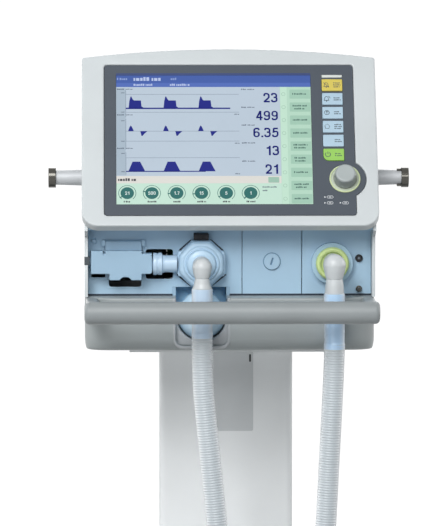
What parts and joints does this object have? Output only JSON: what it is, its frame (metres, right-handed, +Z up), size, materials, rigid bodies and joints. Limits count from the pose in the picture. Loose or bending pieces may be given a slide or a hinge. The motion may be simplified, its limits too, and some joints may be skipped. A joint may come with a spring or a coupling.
{
  "type": "mechanical ventilator",
  "caption": "Turbine ventilator with a tilted touchscreen, keys and knob over a valve bay, on a wheeled column, with two corrugated breathing hoses and a Y-piece.",
  "frame": {"origin": "on the floor under the middle of the trolley's base", "axes": "+Z up, front with the screen towards -Y, +X to the viewer's right"},
  "size_m": [0.577, 0.8705, 1.2483],
  "materials": {
    "bezel": "fine texture",
    "panel": "satin film",
    "screen": "anti-glare",
    "lamp": "clear",
    "key_yellow": "silicone",
    "key_blue": "silicone",
    "key_green": "silicone",
    "lime": "satin",
    "knob": "satin",
    "bay": "satin",
    "clear": "translucent",
    "white": "smooth",
    "black": "moulded",
    "metal": "turned",
    "tray": "satin paint",
    "stud": "satin",
    "cap": "dark",
    "board": "coated",
    "inside": "moulded",
    "supply": "sheet",
    "column": "powder coat",
    "base": "powder coat",
    "caster": "moulded",
    "tyre": "grey tread",
    "pedal": "moulded",
    "hose": "translucent silicone"
  },
  "bodies": {
    "ventilator": {"rear_housing": "bezel", "front_bezel": "bezel", "control_panel": "panel", "touchscreen": "screen", "alarm_lamp": "lamp", "knob_ring": "lime", "valve_panel": "bay", "cell_cover": "bay", "port_panel": "bay", "flow_sensor": "clear", "expiratory_valve": "clear", "expiratory_elbow": "white", "water_trap": "clear", "port_ring": "lime", "inspiratory_elbow": "white", "front_sockets": "metal", "panel_screws": "metal", "base_tray": "tray", "front_bar": "tray", "side_studs": "stud", "stud_caps": "cap", "main_board": "board", "blower_housing": "inside", "gas_block": "inside", "power_supply": "supply", "battery_pack": "inside", "rear_panel": "bezel", "mains_inlet": "black", "oxygen_inlet": "metal", "filter_cover": "tray", "column_frame": "column", "column_cover": "column", "base_crossmember": "base", "base_beams": "base", "expiratory_hose": "hose", "inspiratory_hose": "hose", "y_piece": "white"},
    "key_audio_pause": {"key_audio_pause": "key_yellow"},
    "key_alarm_reset": {"key_alarm_reset": "key_blue"},
    "key_oxygen_boost": {"key_oxygen_boost": "key_blue"},
    "key_nebuliser": {"key_nebuliser": "key_blue"},
    "key_inspiration_hold": {"key_inspiration_hold": "key_blue"},
    "key_standby": {"key_standby": "key_green"},
    "knob_spindle": {"knob_spindle": "metal"},
    "rotary_knob": {"rotary_knob": "knob"},
    "cover_lock": {"cover_lock": "bay"},
    "sensor_flap": {"sensor_flap": "bay"},
    "valve_catch": {"valve_catch": "black"},
    "power_switch": {"power_switch": "black"},
    "blower_impeller": {"blower_impeller": "inside"},
    "caster_front_left": {"caster_fork_front_left": "caster"},
    "wheels_front_left": {"caster_wheels_front_left": "tyre"},
    "caster_front_right": {"caster_fork_front_right": "caster"},
    "wheels_front_right": {"caster_wheels_front_right": "tyre"},
    "caster_rear_left": {"caster_fork_rear_left": "caster"},
    "wheels_rear_left": {"caster_wheels_rear_left": "tyre"},
    "caster_rear_right": {"caster_fork_rear_right": "caster"},
    "wheels_rear_right": {"caster_wheels_rear_right": "tyre"},
    "brake_pedal_left": {"brake_pedal_left": "pedal"},
    "brake_pedal_right": {"brake_pedal_right": "pedal"}
  },
  "joints": [
    {"name": "audio_pause_press", "type": "slide", "parent": "ventilator", "child": "key_audio_pause", "axis": [0, 0.8572, -0.515], "range_m": [0, 0.0008], "stiffness_N_per_m": 2000},
    {"name": "alarm_reset_press", "type": "slide", "parent": "ventilator", "child": "key_alarm_reset", "axis": [0, 0.8572, -0.515], "range_m": [0, 0.0008], "stiffness_N_per_m": 2000},
    {"name": "oxygen_boost_press", "type": "slide", "parent": "ventilator", "child": "key_oxygen_boost", "axis": [0, 0.8572, -0.515], "range_m": [0, 0.0008], "stiffness_N_per_m": 2000},
    {"name": "nebuliser_press", "type": "slide", "parent": "ventilator", "child": "key_nebuliser", "axis": [0, 0.8572, -0.515], "range_m": [0, 0.0008], "stiffness_N_per_m": 2000},
    {"name": "inspiration_hold_press", "type": "slide", "parent": "ventilator", "child": "key_inspiration_hold", "axis": [0, 0.8572, -0.515], "range_m": [0, 0.0008], "stiffness_N_per_m": 2000},
    {"name": "standby_press", "type": "slide", "parent": "ventilator", "child": "key_standby", "axis": [0, 0.8572, -0.515], "range_m": [0, 0.0008], "stiffness_N_per_m": 2000},
    {"name": "knob_push", "type": "slide", "parent": "ventilator", "child": "knob_spindle", "axis": [0, 0.8572, -0.515], "range_m": [0, 0.001], "stiffness_N_per_m": 2000},
    {"name": "knob_turn", "type": "hinge", "parent": "knob_spindle", "child": "rotary_knob", "pos_m": [0.144, -0.16601, 1.08757], "axis": [0, -0.8572, 0.515], "continuous": true},
    {"name": "cover_lock_turn", "type": "hinge", "parent": "ventilator", "child": "cover_lock", "pos_m": [0.0533, -0.14, 0.982], "axis": [0, -1, 0], "range_deg": [0, 90]},
    {"name": "sensor_flap_hinge", "type": "hinge", "parent": "ventilator", "child": "sensor_flap", "pos_m": [-0.134, -0.1437, 1.006], "axis": [-1, 0, 0], "range_deg": [0, 70]},
    {"name": "valve_catch_slide", "type": "slide", "parent": "ventilator", "child": "valve_catch", "axis": [1, 0, 0], "range_m": [0, 0.003], "stiffness_N_per_m": 800},
    {"name": "power_switch_rock", "type": "hinge", "parent": "ventilator", "child": "power_switch", "pos_m": [-0.068, 0.16, 0.973], "axis": [-1, 0, 0], "range_deg": [0, 20]},
    {"name": "blower_spin", "type": "hinge", "parent": "ventilator", "child": "blower_impeller", "pos_m": [0.105, 0.06, 0.892], "axis": [0, 0, 1], "continuous": true},
    {"name": "swivel_front_left", "type": "hinge", "parent": "ventilator", "child": "caster_front_left", "pos_m": [-0.2585, -0.2785, 0.11], "axis": [0, 0, 1], "continuous": true},
    {"name": "roll_front_left", "type": "hinge", "parent": "caster_front_left", "child": "wheels_front_left", "pos_m": [-0.2585, -0.2535, 0.05], "axis": [1, 0, 0], "continuous": true},
    {"name": "swivel_front_right", "type": "hinge", "parent": "ventilator", "child": "caster_front_right", "pos_m": [0.2585, -0.2785, 0.11], "axis": [0, 0, 1], "continuous": true},
    {"name": "roll_front_right", "type": "hinge", "parent": "caster_front_right", "child": "wheels_front_right", "pos_m": [0.2585, -0.2535, 0.05], "axis": [1, 0, 0], "continuous": true},
    {"name": "swivel_rear_left", "type": "hinge", "parent": "ventilator", "child": "caster_rear_left", "pos_m": [-0.2585, 0.2575, 0.11], "axis": [0, 0, 1], "continuous": true},
    {"name": "roll_rear_left", "type": "hinge", "parent": "caster_rear_left", "child": "wheels_rear_left", "pos_m": [-0.2585, 0.2825, 0.05], "axis": [1, 0, 0], "continuous": true},
    {"name": "swivel_rear_right", "type": "hinge", "parent": "ventilator", "child": "caster_rear_right", "pos_m": [0.2585, 0.2575, 0.11], "axis": [0, 0, 1], "continuous": true},
    {"name": "roll_rear_right", "type": "hinge", "parent": "caster_rear_right", "child": "wheels_rear_right", "pos_m": [0.2585, 0.2825, 0.05], "axis": [1, 0, 0], "continuous": true},
    {"name": "brake_left", "type": "hinge", "parent": "caster_front_left", "child": "brake_pedal_left", "pos_m": [-0.2585, -0.3005, 0.092], "axis": [1, 0, 0], "range_deg": [0, 12]},
    {"name": "brake_right", "type": "hinge", "parent": "caster_front_right", "child": "brake_pedal_right", "pos_m": [0.2585, -0.3005, 0.092], "axis": [1, 0, 0], "range_deg": [0, 12]}
  ]
}
